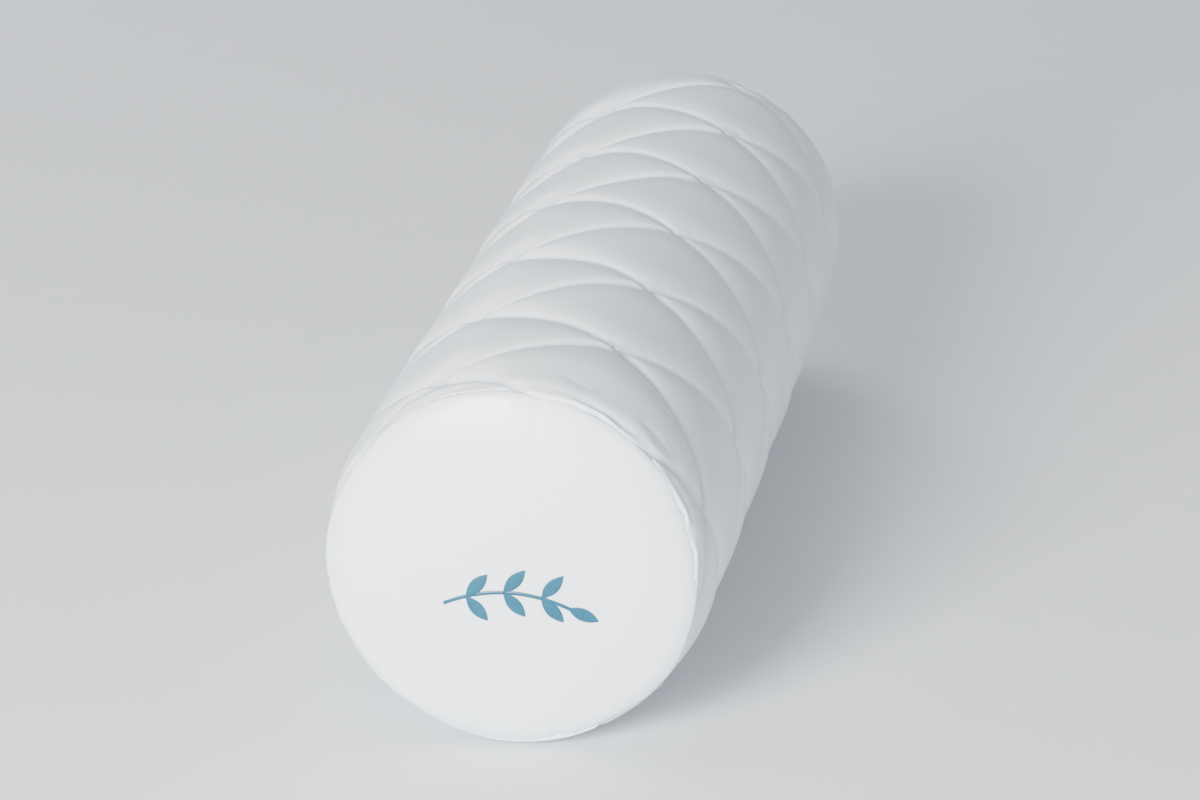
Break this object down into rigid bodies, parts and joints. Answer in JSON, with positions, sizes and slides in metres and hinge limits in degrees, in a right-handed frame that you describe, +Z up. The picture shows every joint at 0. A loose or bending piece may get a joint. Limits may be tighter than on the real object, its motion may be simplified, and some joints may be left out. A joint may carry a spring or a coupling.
{
  "type": "bolster pillow",
  "caption": "Round bolster pillow with a diamond-quilted leatherette sleeve, smooth domed end caps, a foam core and a zip along the rear that opens the cover.",
  "frame": {"origin": "middle of the flat strip that the bolster rests on, on the supporting surface", "axes": "+X along the bolster from the emblem end to the plain end, +Y to the rear where the zip is, +Z up"},
  "size_m": [0.6006, 0.1808, 0.1756],
  "materials": {
    "leatherette": "satin",
    "foam": "matte",
    "fleece": "matte",
    "lining_cloth": "matte",
    "thread": "satin",
    "emblem_film": "satin",
    "binding_tape": "matte",
    "zip_coil": "satin",
    "zip_metal": "polished"
  },
  "bodies": {
    "cover": {"quilted_facing": "leatherette", "end_cap_near": "leatherette", "end_cap_far": "leatherette", "foam_core": "foam", "quilt_wadding": "fleece", "cap_padding_near": "fleece", "cap_padding_far": "fleece", "quilt_backing": "lining_cloth", "inner_cover": "lining_cloth", "zip_guard": "lining_cloth", "inner_cover_end_near": "lining_cloth", "inner_cover_end_far": "lining_cloth", "cap_backing_near": "lining_cloth", "cap_backing_far": "lining_cloth", "end_seam_stitch_near": "thread", "end_seam_stitch_far": "thread", "zip_topstitch": "thread", "join_stitch_near": "thread", "join_stitch_far": "thread", "cap_emblem": "emblem_film", "zip_tape_upper": "binding_tape", "zip_tape_lower": "binding_tape", "seam_binding_near": "binding_tape", "seam_binding_far": "binding_tape", "zip_coil_upper": "zip_coil", "zip_coil_lower": "zip_coil", "zip_top_stop": "zip_metal", "zip_bottom_stop": "zip_metal"},
    "slider": {"zip_slider": "zip_metal"},
    "pull": {"zip_pull": "zip_metal"}
  },
  "joints": [
    {"name": "slider_slide", "type": "slide", "parent": "cover", "child": "slider", "axis": [1, 0, 0], "range_m": [0, 0.436]},
    {"name": "pull_hinge", "type": "hinge", "parent": "slider", "child": "pull", "pos_m": [-0.2182, 0.08918, 0.10375], "axis": [0, -0.1951, 0.9808], "range_deg": [0, 180]}
  ]
}
